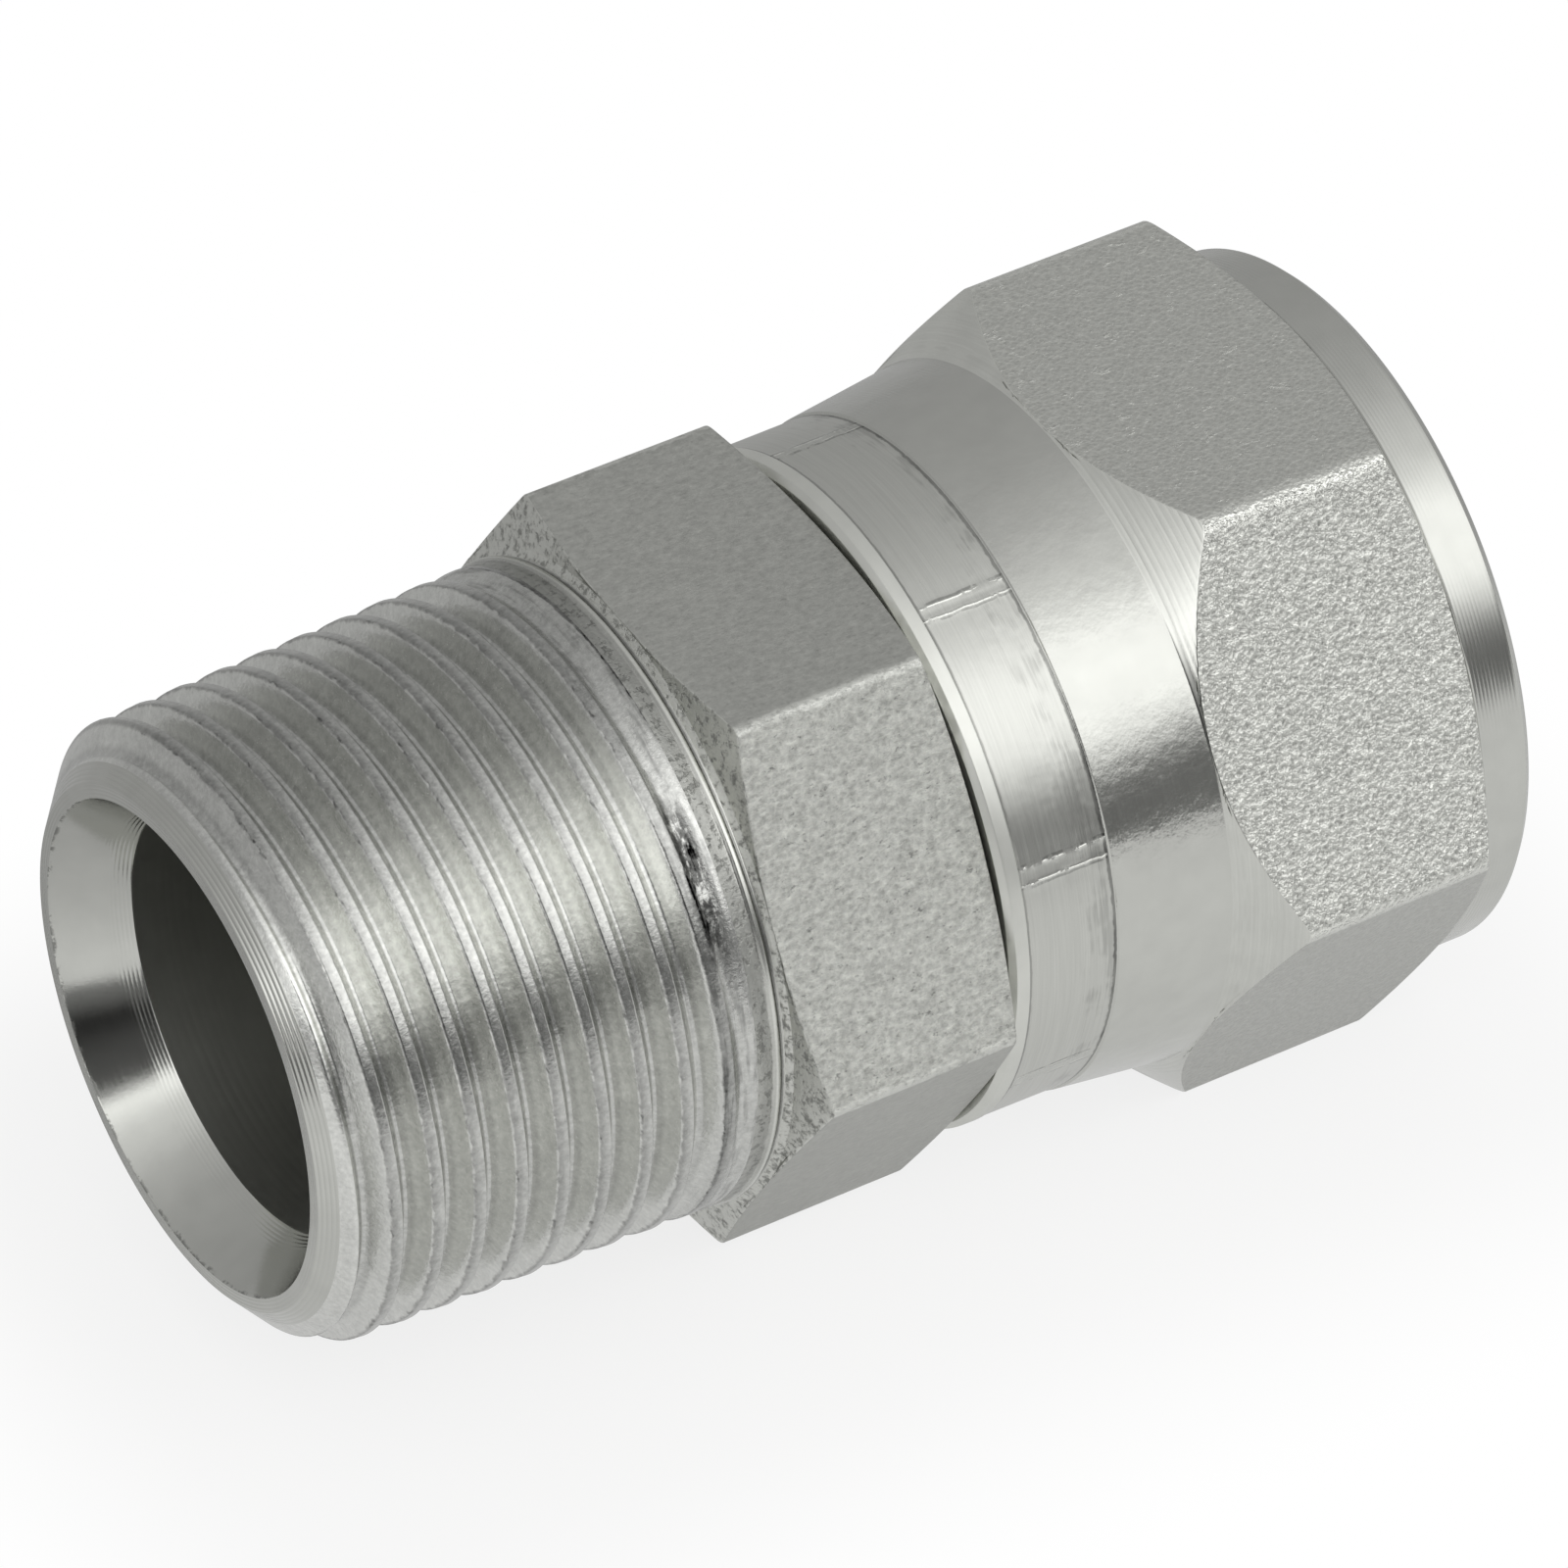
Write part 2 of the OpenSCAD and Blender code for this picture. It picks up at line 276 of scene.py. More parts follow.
def section_rows(section, steps=4, hold=0.12 * MM):
    """Rows of points round the corners of a section, with their finishes and column angles.

    A corner is its station in millimetres, radius, rounding, the finish from there on, and
    the angles of its columns. A rounding takes less than half of the sides beside it, and a
    row on each side of it holds the side straight.
    """
    points = [
        np.stack(np.broadcast_arrays(station(at), radius, np.zeros(columns))[:2], 1)
        for at, radius, *_ in section
    ]
    rows, finishes, angles = [points[0]], [section[0][3]], [section[0][4]]
    for before, corner, after, (_, _, rounding, finish, turn) in zip(
        points, points[1:], points[2:], section[1:]
    ):
        back, ahead = before - corner, after - corner
        back_length = np.linalg.norm(back, axis=1, keepdims=True) + 1e-12
        ahead_length = np.linalg.norm(ahead, axis=1, keepdims=True) + 1e-12
        back, ahead = back / back_length, ahead / ahead_length
        bend = math.pi - np.arccos(np.clip((back * ahead).sum(1, keepdims=True), -1, 1))
        room = 0.45 * np.minimum(back_length, ahead_length)
        reach = np.minimum(rounding * np.tan(bend / 2), room)
        held_back, held_ahead = (
            reach + np.maximum(np.minimum(hold, length * 0.48 - reach * 0.9), 0.02 * reach)
            for length in (back_length, ahead_length)
        )
        rows.append(corner + back * held_back)
        finishes.append(finishes[-1])
        for step in np.linspace(0, 1, steps + 1):
            rows.append(corner + reach * (back * (1 - step) ** 2 + ahead * step**2))
            finishes.append(finish if step >= 0.5 else finishes[-1])
        rows.append(corner + ahead * held_ahead)
        finishes.append(finish)
        angles += [turn] * (steps + 3)
    rows.append(points[-1])
    angles.append(section[-1][4])
    return np.array(rows), finishes, np.array(angles)


def add_turned(mesh, section, materials):
    """Adds the surface of a section that goes round the axis to a bmesh."""
    rows, finishes, angles = section_rows(section)
    y = -rows[:, :, 1] * np.sin(angles)
    z = axis_height + rows[:, :, 1] * np.cos(angles)
    places = np.stack((rows[:, :, 0], y, z), 2)
    grid = [[mesh.verts.new(place) for place in row] for row in places]
    for row, next_row, finish in zip(grid, grid[1:], finishes):
        for column in range(columns):
            beside = (column + 1) % columns
            corners = row[column], row[beside], next_row[beside], next_row[column]
            face = mesh.faces.new(corners)
            face.material_index = materials.index(finish)
            face.smooth = True


def add_grown(target, mesh, slot_index):
    """Adds a grown mesh to a bmesh, in one of its material slots."""
    known = len(target.faces)
    target.from_mesh(mesh)
    target.faces.ensure_lookup_table()
    for face in target.faces[known:]:
        face.material_index = slot_index
        face.smooth = True
    bpy.data.meshes.remove(mesh)


def one_piece(name, target, materials, body, node):
    """Closes the seams of a bmesh and makes it the piece that stands for a CAD node."""
    bmesh.ops.remove_doubles(target, verts=target.verts, dist=0.002 * MM)
    bmesh.ops.recalc_face_normals(target, faces=target.faces)
    mesh = bpy.data.meshes.new(name)
    target.to_mesh(mesh)
    target.free()
    for material in materials:
        mesh.materials.append(material)
    piece = bpy.data.objects.new(name, mesh)
    bpy.context.scene.collection.objects.link(piece)
    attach(piece, body)
    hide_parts(node)
    return piece


# Zinc plating makes the whole fitting a slightly warm pale grey
warm = (1.0, 1.01, 0.952)


class Finish:
    """A metal material, with coordinates in millimetres from the axis and the male end."""

    def __init__(self, name, level, roughness, tint=warm):
        self.material = bpy.data.materials.new(name)
        self.material.use_nodes = True
        tree = self.material.node_tree
        tree.nodes.clear()
        start = Wire(tree)
        self.shader = tree.nodes.new("ShaderNodeBsdfPrincipled")
        self.shader.inputs["Metallic"].default_value = 1.0
        self.shader.inputs["Roughness"].default_value = roughness
        self.colour = tuple(level * part for part in tint)
        self.shader.inputs["Base Color"].default_value = (*self.colour, 1)
        output = tree.nodes.new("ShaderNodeOutputMaterial")
        tree.links.new(self.shader.outputs[0], output.inputs[0])
        self.tree = tree
        object_place = start.add("ShaderNodeTexCoord", out=3)
        shift = {0: object_place, 1: (-male_end, 0, -axis_height)}
        moved = start.add("ShaderNodeVectorMath", {"operation": "ADD"}, shift)
        scale = {0: moved, 1: (1 / MM,) * 3}
        self.place = start.add("ShaderNodeVectorMath", {"operation": "MULTIPLY"}, scale)
        self.x, self.y, self.z = (
            start.add("ShaderNodeSeparateXYZ", None, {0: self.place}, axis) for axis in range(3)
        )
        self.radius = (self.y * self.y + self.z * self.z).math("SQRT")
        self.turn = (self.y * -1).math("ARCTAN2", self.z)

    def noise_on(self, vector, scale, detail, offset, roughness=0.5):
        """Noise from 0 to 1 on a vector; each offset gives another pattern."""
        sockets = {"Vector": vector, "W": offset, "Scale": scale, "Detail": detail}
        sockets["Roughness"] = roughness
        return self.x.add("ShaderNodeTexNoise", {"noise_dimensions": "4D"}, sockets)

    def noise(self, per_mm, detail=2.0, roughness=0.5, stretch=(1, 1, 1), offset=0.0):
        """Noise from 0 to 1, with this many grains in a millimetre."""
        scaled = {0: self.place, 1: stretch}
        vector = self.x.add("ShaderNodeVectorMath", {"operation": "MULTIPLY"}, scaled)
        return self.noise_on(vector, per_mm, detail, offset, roughness)

    def streaks(self, per_mm, length, detail=2.0, offset=0.0):
        """Noise in dashes of this length in millimetres, laid round the axis."""
        arc = self.turn * self.radius / length
        sockets = {0: self.x * per_mm, 1: self.radius * per_mm, 2: arc}
        vector = self.x.add("ShaderNodeCombineXYZ", None, sockets)
        return self.noise_on(vector, 1.0, detail, offset)

    def rings(self, per_mm, detail=1.0, drift=0.15, offset=0.0):
        """Noise that is drawn out round the axis, as turning leaves it."""
        sockets = {0: self.x, 1: self.radius, 2: self.noise(0.5, 1.0, offset=offset) * drift}
        vector = self.x.add("ShaderNodeCombineXYZ", None, sockets)
        return self.noise_on(vector, per_mm, detail, offset)

    def grooves(self, across, step):
        """Even rings of a turning tool, deeper in some places than in others."""
        wave = (across * (math.pi / step)).math("SINE").math("ABSOLUTE")
        strong = self.rings(0.7, 1.0, 0.6, offset=4.0).ramp(0.25, 0.6) * 0.7 + 0.3
        return wave * strong

    def cells(self, per_mm):
        """Distance to the nearest of scattered points."""
        sockets = {"Vector": self.place, "Scale": per_mm, "Detail": 1.0}
        return self.x.add("ShaderNodeTexVoronoi", None, sockets)

    def clouds(self):
        """Slow changes of brightness over a face."""
        return (self.noise(0.6, 3.0, offset=2.0) - 0.5) * 0.16

    def side(self, degrees):
        """1 on the side of a hexagon whose middle is this far round from the top."""
        return self.turn.near(math.radians(degrees), 0.5, 0.54)

    def from_corner(self, first_corner):
        """Way round from a hexagon's nearest corner, in sixths of a turn."""
        share = self.turn / (math.pi / 3) - first_corner / 60
        return share - share.math("ROUND")

    def shade(self, factor):
        """Multiplies the plain colour by a wire."""
        sockets = {0: self.colour, "Scale": factor}
        colour = factor.add("ShaderNodeVectorMath", {"operation": "SCALE"}, sockets)
        self.tree.links.new(colour.socket, self.shader.inputs["Base Color"])

    def rough(self, wire):
        self.tree.links.new(wire.socket, self.shader.inputs["Roughness"])

    def relief(self, height):
        """Bump from a height in millimetres."""
        sockets = {"Strength": 1.0, "Distance": MM, "Height": height}
        bump = height.add("ShaderNodeBump", None, sockets)
        self.tree.links.new(bump.socket, self.shader.inputs["Normal"])


def thread_finish():
    """Cut by the die: darker torn crests with nicks before them, dirt and wear by the neck, and
    painted shade on the groove roots, the top and the underside.
    """
    finish = Finish("die_cut_thread", 0.71, 0.25, (1.0, 1.008, 0.968))
    pitch_mm = pitch / MM
    patch_place, patch_angle = 22.0, 0.87
    tear = finish.noise(1.6, 3.0, 0.6) - 0.5
    phase = (finish.x - (underside_crest - pitch_mm / 2)) / pitch_mm - finish.turn / (2 * math.pi)
    behind = (phase - phase.math("ROUND")) * pitch_mm
    torn = behind + tear * 0.28
    crest = torn.ramp(-0.5, -0.4) * behind.ramp(-0.4, 0.1, 1.0, 0.5)
    crest = crest * behind.ramp(0.2, 0.3, 1.0, 0.0)
    outer = finish.radius - (finish.x * taper + (gauge_radius / MM - gauge_place * taper))
    crest = crest * outer.ramp(-0.3, -0.1)
    washed = finish.x.ramp(20.6, 21.6)
    blotch = finish.noise(1.1, 3.0, 0.6, offset=3.0)
    fine = finish.noise(9.0, 2.0, 0.6, offset=1.0)
    dirt = finish.streaks(3.2, 3.0, 4.0, 5.0).ramp(0.47, 0.7) * washed
    nicks = (behind + tear * 0.4).near(-0.41, 0.02, 0.06)
    nicks = nicks * finish.noise(1.3, 4.0, 0.7, offset=9.0).ramp(0.54, 0.64)
    worn_patch = finish.x.near(patch_place, 0.35, 0.75)
    worn_patch = worn_patch * finish.turn.near(patch_angle, 0.12, 0.34)
    worn_patch = worn_patch * finish.noise(2.4, 4.0, 0.7, (1, 0.4, 0.4), 11.0).ramp(0.38, 0.52)
    grain = finish.noise(3.6, 3.0, 0.65, offset=13.0)
    # Painted shade: the groove roots, the top side and the underside are darkened.
    painted_root_shade = behind.math("ABSOLUTE").ramp(0.8, 1.0) * outer.ramp(-0.9, -0.6, 1.0, 0.0)
    painted_top_shade = finish.turn.near(0.0, 0.2, 0.6)
    low = finish.turn.ramp(0.9, 1.4)
    # Real crest, nick, dirt and wear marks are summed with that painted shade.
    marks_and_painted_shade = crest * 0.42 + nicks * 0.24 + painted_root_shade * 0.2 + painted_top_shade * 0.16 + low * 0.04
    marks_and_painted_shade = marks_and_painted_shade + washed * 0.18 + dirt * 0.26 + worn_patch * 0.66
    finish.shade((1.0 - marks_and_painted_shade) + (blotch - 0.5) * 0.3 + (grain - 0.5) * 0.55 + (fine - 0.5) * 0.16)
    finish.rough((fine - 0.5) * 0.16 + 0.24 + dirt * 0.15)
    edge = (torn + 0.4) / 0.05
    lip = 0.0015 / (edge * edge + 1)
    crumbled = washed * finish.noise(3.0, 4.0, 0.7, offset=7.0)
    finish.relief(grain * 0.02 + blotch * 0.012 + lip + crumbled * 0.03)
    return finish.material


def turned_finish(
    name, level, roughness, groove_step, groove_depth,
    scratch=0.001, along_radius=False, waviness=0.003,
):
    """Turned face with even tool rings and finer scratches between them."""
    finish = Finish(name, level, roughness)
    across = finish.radius if along_radius else finish.x
    fine = finish.rings(9.0, 3.0, 0.4)
    height = fine * scratch + finish.noise(1.2, 3.0, 0.6) * waviness
    if groove_depth:
        height = height + finish.grooves(across, groove_step) * groove_depth
    finish.relief(height)
    finish.rough((fine - 0.5) * 0.1 + roughness)
    finish.shade(finish.clouds() + 1.0)
    return finish.material


def seat_finish():
    """Smooth cone, with tool rings by the edge of the passage and nicks at its mouth."""
    finish = Finish("cone_seat", 0.55, 0.15)
    ring_step, mouth_radius = 0.11, 13.0
    rings = (finish.radius * (math.pi / ring_step)).math("SINE").math("ABSOLUTE")
    inner = finish.radius.ramp(11.35, 11.75, 1.0, 0.0)
    fine = finish.rings(9.0, 3.0, 0.3)
    ragged = (finish.noise(1.2, 3.0, 0.6) - 0.5) * 0.3
    mouth = (finish.radius - mouth_radius + ragged).ramp(-0.02, 0.08)
    mouth = mouth * finish.x.ramp(4.0, 5.0, 1.0, 0.0)
    nicks = mouth * finish.noise(1.4, 4.0, 0.7, offset=3.0).ramp(0.48, 0.56)
    rubbed = finish.noise(4.0, 3.0, 0.7, offset=5.0) * 0.0022
    finish.relief(rings * inner * 0.008 + fine * 0.0026 + finish.noise(0.8, 2.0) * 0.003 + rubbed)
    finish.rough((fine - 0.5) * 0.08 + 0.15 + nicks * 0.2)
    finish.shade(finish.clouds() + (1 - nicks * 0.5))
    return finish.material


def pitted_finish():
    """Chamfers of the bar's hexagon, left rough and full of dark pits."""
    finish = Finish("pitted_chamfer", 0.65, 0.42)
    spots = finish.noise(2.0, 5.0, 0.75).ramp(0.48, 0.62)
    grain = finish.noise(7.0, 3.0, 0.6, offset=2.0)
    finish.shade((1 - spots * 0.5) + (grain - 0.5) * 0.3)
    finish.rough(spots * 0.2 + 0.36)
    finish.relief(grain * 0.012 - spots * 0.02 + finish.rings(4.0, 2.0, 1.0) * 0.008)
    return finish.material


body_corner_angle = 32


def bar_finish():
    """Sides of the drawn bar: a grain that is coarser on the front side, painted light on the
    front, painted shade on the top and lower sides, and a painted highlight on the corners.
    """
    finish = Finish("drawn_bar", 0.485, 0.5)
    grain = finish.noise(3.0, 5.0, 0.8, (0.55, 1, 1))
    lines = finish.noise(4.0, 2.0, 0.5, (0.12, 1, 1), 3.0)
    specks = finish.noise(3.6, 3.0, 0.7, (0.6, 1, 1), 6.0).ramp(0.6, 0.68)
    dents = finish.cells(2.8)
    painted_top_shade, front, shaded_lower_side = (finish.side(body_corner_angle + way) for way in (-30, 30, 90))
    deep = front * 0.6 + 0.4
    spread = (finish.noise(0.5, 3.0, offset=9.0) - 0.5) * 0.12
    spread = spread + ((grain - 0.5) * 2.0 + (dents - 0.4) * 0.35) * deep
    # Painted highlight: a broken light line along the corners, which are also smoother.
    corner = finish.from_corner(body_corner_angle).math("ABSOLUTE")
    corner = (corner + (finish.noise(1.8, 3.0) - 0.5) * 0.02).ramp(0.01, 0.018, 1.0, 0.0)
    corner = corner * finish.noise(0.8, 4.0, 0.7, offset=12.0).ramp(0.42, 0.54)
    # Painted light and shade: the front side lighter, the top and lower sides darker.
    painted_side_light = front * 0.17 - painted_top_shade * 0.12 - shaded_lower_side * 0.1
    finish.shade(((1 - specks * (deep * 0.6 - 0.1)) + spread) * (painted_side_light + 1.0) + corner * 0.4)
    finish.rough((grain - 0.5) * 0.3 + 0.46 - corner * 0.15)
    finish.relief((grain * 0.24 + dents * 0.05) * deep * deep + lines * 0.01)
    return finish.material


def neck_finish():
    """Rough where the die ran out, a smooth bead with a painted highlight, painted shade on the
    top, and a groove at the hexagon's foot with a painted shade line.
    """
    finish = Finish("turned_neck", 0.58, 0.3)
    torn_from, torn_to, bead_place, groove_place = 22.3, 24.0, 24.17, 24.45
    place = finish.x + (finish.noise(1.4, 3.0, 0.6, offset=2.0) - 0.5) * 0.35
    torn = place.ramp(torn_from, torn_from + 0.2) * place.ramp(torn_to - 0.2, torn_to, 1.0, 0.0)
    # Painted shade: a dark line in the groove at the hexagon's foot.
    groove = finish.x + (finish.noise(2.5, 3.0, offset=5.0) - 0.5) * 0.1
    groove = groove.near(groove_place, 0.03, 0.1)
    pits = finish.noise(2.2, 4.0, 0.7).ramp(0.5, 0.62)
    grain = finish.noise(6.0, 3.0, 0.65, offset=4.0)
    drawn = finish.streaks(2.4, 6.0, 3.0, 8.0) - 0.5
    # Painted shade: the top is darkened.
    painted_top_shade = finish.turn.near(0.0, 0.2, 1.0) * 0.12
    marks_and_painted_shade = torn * (pits * 0.25 + 0.14) + groove * 0.45 + painted_top_shade
    # Painted highlight: the bead is lightened.
    bead = finish.x.near(bead_place, 0.06, 0.16) * 0.3
    finish.shade(0.86 - marks_and_painted_shade + bead + (grain - 0.5) * 0.3 + drawn * 0.55)
    finish.rough(torn * 0.15 + 0.24 + (grain - 0.5) * 0.1)
    finish.relief(torn * (grain * 0.03 - pits * 0.02) + finish.streaks(5.0, 3.0) * 0.006)
    return finish.material


body_finishes = {
    "thread": thread_finish(),
    "neck": neck_finish(),
    "chamfer": pitted_finish(),
    "bar": bar_finish(),
    "tail": turned_finish("turned_tail", 0.55, 0.28, 0.25, 0.002),
    "bore": turned_finish("drilled_bore", 0.52, 0.4, 0.5, 0.004),
    "seat": seat_finish(),
    "lead": turned_finish("lead_chamfer", 0.55, 0.18, 0.2, 0.022, along_radius=True),
}

even = gathered(6, 0, 1.0)
by_corners = gathered(6, body_corner_angle, 0.25)
bar_flats = 35 * MM
bar_corner = 0.69 * MM
neck_radius = 17.15 * MM
tail_radius, shoulder_radius = 13.7 * MM, 15.0 * MM
hex_start, hex_end = 24.75, 37.0
chamfer_slope = math.tan(math.radians(16))
bar = bar_radius(by_corners, bar_flats, bar_corner, body_corner_angle)
chamfer_run = (bar - neck_radius) / MM * chamfer_slope
bore_radius = mounts["flow_bore"]["dims"]["r_mm"] * MM
seat_radius = 13.1 * MM
seat_depth = (seat_radius - bore_radius) / MM / math.tan(math.radians(30))
nose_tip = 56.01

body_section = [
    (thread_to, crest_radius(thread_to), 0, "thread", even),
    (23.05, 17.07 * MM, 0.1 * MM, "neck", even),
    (23.92, 17.06 * MM, 0.1 * MM, "neck", even),
    (24.08, 17.2 * MM, 0.1 * MM, "neck", even),
    (24.25, 17.2 * MM, 0.1 * MM, "neck", even),
    (24.42, 17.04 * MM, 0.04 * MM, "neck", even),
    (24.6, 17.09 * MM, 0.1 * MM, "chamfer", even),
    (24.86, 17.46 * MM, 0.1 * MM, "chamfer", even),
    (hex_start + chamfer_run, bar, 0.14 * MM, "bar", by_corners),
    (hex_end - chamfer_run, bar, 0.14 * MM, "chamfer", by_corners),
    (hex_end, neck_radius, 0.1 * MM, "tail", even),
    (hex_end, tail_radius, 0.2 * MM, "tail", even),
    (43.25, tail_radius, 0.2 * MM, "tail", even),
    (44.55, shoulder_radius, 0.1 * MM, "tail", even),
    (51.6, shoulder_radius, 0.1 * MM, "tail", even),
    (52.2, 14.4 * MM, 0.1 * MM, "seat", even),
    (nose_tip, 12.2 * MM, 0.15 * MM, "seat", even),
    (nose_tip, 11.4 * MM, 0.05 * MM, "bore", even),
    (nose_tip - 0.4, bore_radius, 0.05 * MM, "bore", even),
    (seat_depth, bore_radius, 0.06 * MM, "seat", even),
    (0, seat_radius, 0.1 * MM, "lead", even),
    (0, lead_radius, 0.12 * MM, "lead", even),
    (thread_from, lead_radius + thread_from * MM * lead_slope, 0, "lead", even),
]

body_mesh = bmesh.new()
finish_names = list(body_finishes)
add_turned(body_mesh, body_section, finish_names)
male_thread = grown("male_thread", pipe_thread, {
    "Pitch": pitch, "First Crest": first_crest - crest_wear / 2,
    "Start": station(thread_from), "End": station(thread_to),
    "Start Radius": crest_radius(thread_from), "Taper": taper,
    "Depth": form_height, "Crest Flat": crest_flat + crest_wear,
    "Crest Round": 0.32 * MM, "Hollow": 1.7, "Run Out": 3.6 * MM,
    "Start Cut": lead_radius + thread_from * MM * lead_slope, "Start Slope": lead_slope,
    "End Cut": 1.0, "End Slope": 0.0, "Side": 1.0, "Burr": 0.03 * MM, "Wander": 0.05 * MM,
    "Seed": 3.0, "Columns": columns, "Rows per Pitch": 22, "Material": body_finishes["thread"],
})
add_grown(body_mesh, male_thread, finish_names.index("thread"))
one_piece(
    "adapter_body_steel", body_mesh, body_finishes.values(), "body", "adapter_body"
)


# Swivel nut
# Forged and turned steel: blasted hexagon flats between turned ends, and a thin front skirt
# that eight jaws press down behind the body's shoulder, which leaves their marks round it.
band_inputs = {
    "Jaws": "Float", "First Ridge": "Float", "Start": "Float", "End": "Float",
    "Start Radius": "Float", "End Radius": "Float", "Height": "Float", "Width": "Float",
    "Columns": "Int", "Rows": "Int", "Share": "Float", "Seed": "Float", "Material": "Material",
}


def pressed_band_tree():
    """A band of flat pads, with a narrow ragged ridge between each two jaws."""
    tree, of = node_tree("pressed_band", band_inputs)
    ragged_scale = 1500.0
    edge_blur, rim_width, end_fade = 0.08 * MM, 0.06 * MM, 0.25 * MM
    grid, turn, along = grid_shares(of["Jaws"], of["Columns"] + 1, of["Rows"] + 1)
    sector = (turn - of["First Ridge"]) * of["Jaws"]
    offset = sector - sector.math("ROUND")
    drawn = offset * of["Share"] + (1 - of["Share"]) * offset * offset.math("ABSOLUTE") * 2
    angle = (turn + (drawn - offset) / of["Jaws"]) * (2 * math.pi)
    place = of["Start"] + (of["End"] - of["Start"]) * along
    radius = of["Start Radius"] + (of["End Radius"] - of["Start Radius"]) * along
    jaw = {"W": (sector.math("ROUND") + of["Jaws"]).math("MODULO", of["Jaws"]) + of["Seed"]}
    vary = turn.add("ShaderNodeTexWhiteNoise", {"noise_dimensions": "1D"}, jaw)
    noise_at = around(angle, radius, place)
    sockets = {"Vector": noise_at, "W": of["Seed"], "Scale": ragged_scale, "Detail": 2.0}
    ragged = turn.add("ShaderNodeTexNoise", {"noise_dimensions": "4D"}, sockets) - 0.5
    beside = drawn.math("ABSOLUTE") * radius * (2 * math.pi) / of["Jaws"]
    half_width = of["Width"] * (vary * 0.7 + 0.5) / 2 + ragged * of["Width"] * 0.25
    flat = (beside - half_width).ramp(-edge_blur, edge_blur, 1.0, 0.0)
    rim = ((beside - half_width) / rim_width).math("POWER", 2.0)
    raised = flat * 0.15 + (ragged * 2.0 + 0.6).math("MAXIMUM", 0.0) / (rim + 1)
    ends = (place - of["Start"]).math("MINIMUM", of["End"] - place).ramp(0.0, end_fade)
    lifted = radius + raised * ends * of["Height"]
    sockets = {"Geometry": grid, "Position": around(angle, lifted, place)}
    close_tree(tree, grid.add("GeometryNodeSetPosition", None, sockets), of["Material"])
    return tree


jaws = 8
first_ridge, ridge_width, jaw_seed = 24, 0.8 * MM, 5.0
band_start, band_end, flare_end = 38.2, 43.25, 49.5
nut_corner_angle = 30


def front_finish():
    """Turned chamfer that runs up from the flare, with a painted highlight on top and a painted
    shadow line at its foot.
    """
    finish = Finish("turned_front_chamfer", 0.575, 0.21)
    fine = finish.rings(9.0, 3.0, 0.4)
    # Painted highlight: the top is lightened.
    pale = finish.turn.near(0.0, 0.7, 1.1) * 0.24
    scratches = fine * 0.001 + finish.noise(1.2, 3.0, 0.6) * 0.004
    finish.relief(finish.grooves(finish.x, 0.25) * 0.014 + scratches)
    finish.rough((fine - 0.5) * 0.1 + 0.21)
    # Painted shadow: a dark line at the foot, where the chamfer meets the flare.
    foot = (finish.x + (finish.noise(1.6, 3.0) - 0.5) * 0.3).near(flare_end + 0.1, 0.1, 0.28)
    foot = foot * finish.turn.ramp(0.72, 0.9) * finish.turn.ramp(1.0, 1.15, 1.0, 0.0)
    finish.shade(finish.clouds() + pale - foot * 0.6 + (fine - 0.5) * 0.24 + 1.0)
    return finish.material


def band_finish():
    """Pads that the jaws scratched round the axis, with painted shade lines at both ends and
    beside the ridges, and burrs with a painted highlight.
    """
    finish = Finish("pressed_band", 0.56, 0.27)
    dashes = finish.streaks(6.0, 2.5, 3.0)
    worn = finish.noise(0.6, 2.0, offset=4.0).ramp(0.35, 0.65)
    late = finish.x.ramp(39.5, 42.6)
    scratched = dashes * (worn * 0.5 + 0.5) * (late * 0.7 + 0.3)
    # Painted shade: dark lines in the steps at both ends of the pads and beside each ridge.
    start_line = finish.x + (finish.noise(2.0, 2.0) - 0.5) * 0.12
    start_line = start_line.near(band_start + 0.05, 0.03, 0.09)
    end_line = finish.x + (finish.noise(2.0, 4.0, 0.6) - 0.5) * 0.3
    end_line = end_line.near(band_end - 0.08, 0.05, 0.15)
    jaw_angle = 2 * math.pi / jaws
    sector = finish.turn / jaw_angle - first_ridge / 360 * jaws
    jaw = {"W": (sector.math("ROUND") + jaws).math("MODULO", jaws) + jaw_seed}
    vary = sector.add("ShaderNodeTexWhiteNoise", {"noise_dimensions": "1D"}, jaw)
    beside = (sector - sector.math("ROUND")).math("ABSOLUTE") * finish.radius * jaw_angle
    ridge_edge = beside - (vary * 0.7 + 0.5) * (ridge_width / MM / 2)
    ridge_edge = ridge_edge + (finish.noise(1.5, 3.0) - 0.5) * 0.2
    broken = finish.noise(1.3, 3.0, 0.6, offset=8.0).ramp(0.4, 0.52)
    burr = broken / ((ridge_edge / 0.05).math("POWER", 2.0) + 1)
    ridge_line = ridge_edge.near(0.14, 0.04, 0.11) * broken
    # The burrs are painted lighter as a highlight.
    painted_shade_and_burr_light = start_line * 0.35 + end_line * 0.5 + ridge_line * 0.4 - burr * 0.4
    brushed = finish.streaks(11.0, 5.0, 2.0, 3.0) - 0.5
    finish.shade(1.0 - painted_shade_and_burr_light - scratched.ramp(0.3, 0.6) * 0.22 + brushed * 0.25)
    uneven = finish.noise(0.9, 2.0, offset=1.0) * 0.006
    finish.relief(scratched * 0.05 + uneven + burr * 0.035 + brushed * 0.006)
    finish.rough(dashes * 0.12 + 0.24)
    return finish.material


